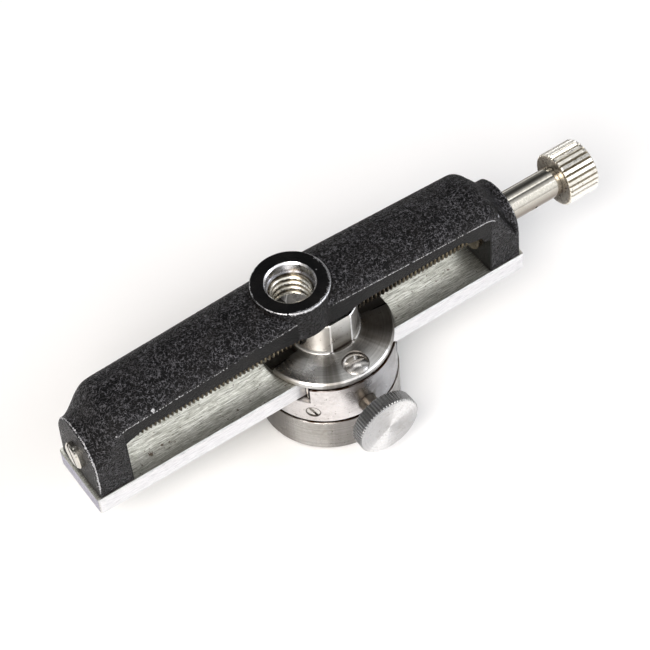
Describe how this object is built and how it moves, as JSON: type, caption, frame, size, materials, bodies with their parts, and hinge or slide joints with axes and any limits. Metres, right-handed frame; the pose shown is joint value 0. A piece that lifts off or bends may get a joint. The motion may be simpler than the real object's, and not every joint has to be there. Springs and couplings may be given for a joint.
{
  "type": "macro focusing rail",
  "caption": "Macro focusing rail: steel bar under a cast bridge with tripod socket; a lead screw and fluted knob drive a turret with a rotating, clamped round platform.",
  "frame": {"origin": "centre of the round platform's threaded hole, in the platform's flat lower face, on the turret's axis", "axes": "+X along the bar towards the fine focusing knob, -Y towards the clamp knob, +Z from the platform up to the tripod socket"},
  "size_m": [0.126, 0.0378, 0.0414],
  "materials": {
    "bar_steel": "long-brushed, pitted, bright edges",
    "crackle_black": "black crackle paint with worn bright edges",
    "screw_steel": "oiled dark steel",
    "bright_steel": "polished",
    "knob_nickel": "nickel plated, yellowed in the flutes",
    "turned_steel": "fine-turned satin steel",
    "brass": "machined"
  },
  "bodies": {
    "rail": {"rail_bar": "bar_steel", "bridge": "crackle_black", "bridge_screws": "screw_steel", "adjusting_plug": "bright_steel", "journal_bush": "brass"},
    "focus_screw": {"lead_screw": "screw_steel", "thrust_washer": "bright_steel", "knob_stem": "bright_steel", "stem_pin": "screw_steel", "fine_knob": "knob_nickel"},
    "carriage": {"carriage_cap": "turned_steel", "cap_screws": "bright_steel", "carriage_drum": "turned_steel", "gib": "brass", "gib_spring": "screw_steel", "retaining_screw": "bright_steel"},
    "platform": {"camera_platform": "turned_steel", "friction_washer": "screw_steel"},
    "clamp_plunger": {"clamp_shoe": "brass"},
    "clamp_handle": {"clamp_shaft": "screw_steel", "clamp_knob": "turned_steel"}
  },
  "joints": [
    {"name": "focus_turn", "type": "hinge", "parent": "rail", "child": "focus_screw", "pos_m": [0, 0, 0.0266], "axis": [1, 0, 0], "range_deg": [-7957, 12781]},
    {"name": "carriage_slide", "type": "slide", "parent": "rail", "child": "carriage", "axis": [1, 0, 0], "range_m": [-0.0355, 0.0221]},
    {"name": "platform_turn", "type": "hinge", "parent": "carriage", "child": "platform", "pos_m": [0, 0, 0], "axis": [0, 0, 1], "continuous": true},
    {"name": "clamp_press", "type": "slide", "parent": "carriage", "child": "clamp_plunger", "axis": [0, 1, 0], "range_m": [-0.00071, 0]},
    {"name": "clamp_turn", "type": "hinge", "parent": "clamp_plunger", "child": "clamp_handle", "pos_m": [0, 0, 0.0124], "axis": [0, 1, 0], "range_deg": [-360, 0]}
  ],
  "couplings": [
    {"joint": "focus_turn", "follows": "carriage_slide", "rad_per_m": -6283.2},
    {"joint": "clamp_press", "follows": "clamp_turn", "m_per_rad": 0.00011141}
  ]
}
